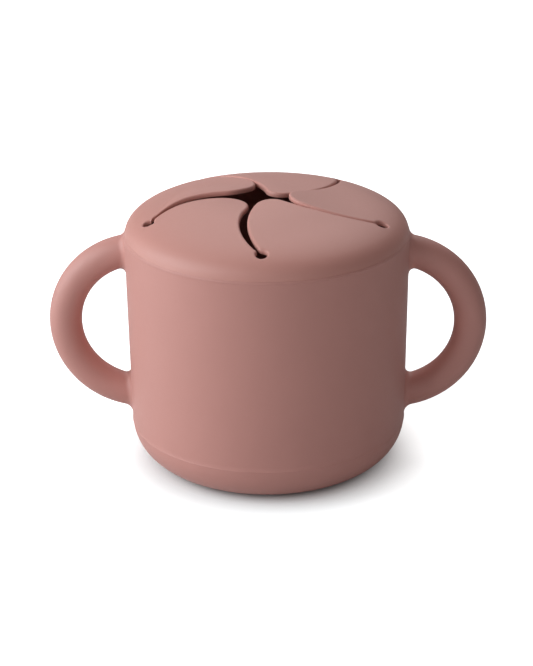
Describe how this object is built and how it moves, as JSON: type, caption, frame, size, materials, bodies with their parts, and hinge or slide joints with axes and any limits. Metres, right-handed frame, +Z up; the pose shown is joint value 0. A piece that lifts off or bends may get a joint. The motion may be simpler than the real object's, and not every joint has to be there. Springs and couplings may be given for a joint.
{
  "type": "toddler snack container",
  "caption": "Two-handled soft silicone snack cup with a press-on lid slit into a pinwheel of flaps that let a small hand in and keep snacks from spilling.",
  "frame": {"origin": "centre of the flat base, on the table", "axes": "+Z up, +X through the right handle, -Y towards the viewer of the picture"},
  "size_m": [0.14, 0.09, 0.088],
  "materials": {
    "cup_silicone": "matte",
    "lid_silicone": "matte"
  },
  "bodies": {
    "cup": {"cup": "cup_silicone", "left_handle": "cup_silicone", "right_handle": "cup_silicone"},
    "lid": {"lid_ring": "lid_silicone"},
    "flap_front_left": {"flap_front_left": "lid_silicone"},
    "flap_front_right": {"flap_front_right": "lid_silicone"},
    "flap_right": {"flap_right": "lid_silicone"},
    "flap_back": {"flap_back": "lid_silicone"},
    "flap_left": {"flap_left": "lid_silicone"}
  },
  "joints": [
    {"name": "lid_lift", "type": "slide", "parent": "cup", "child": "lid", "axis": [0, 0, 1], "range_m": [0, 0.06]},
    {"name": "flap_front_left_hinge", "type": "hinge", "parent": "lid", "child": "flap_front_left", "pos_m": [-0.01906, -0.02396, 0.08281], "axis": [0.7826, -0.6225, 0], "range_deg": [-55, 45], "stiffness_Nm_per_rad": 0.012},
    {"name": "flap_front_right_hinge", "type": "hinge", "parent": "lid", "child": "flap_front_right", "pos_m": [0.0169, -0.02553, 0.08281], "axis": [0.8339, 0.5519, 0], "range_deg": [-55, 45], "stiffness_Nm_per_rad": 0.012},
    {"name": "flap_right_hinge", "type": "hinge", "parent": "lid", "child": "flap_right", "pos_m": [0.02951, 0.00818, 0.08281], "axis": [-0.2672, 0.9636, 0], "range_deg": [-55, 45], "stiffness_Nm_per_rad": 0.012},
    {"name": "flap_back_hinge", "type": "hinge", "parent": "lid", "child": "flap_back", "pos_m": [0.00134, 0.03059, 0.08281], "axis": [-0.999, 0.0436, 0], "range_deg": [-55, 45], "stiffness_Nm_per_rad": 0.012},
    {"name": "flap_left_hinge", "type": "hinge", "parent": "lid", "child": "flap_left", "pos_m": [-0.02868, 0.01072, 0.08281], "axis": [-0.3502, -0.9367, 0], "range_deg": [-55, 45], "stiffness_Nm_per_rad": 0.012}
  ]
}
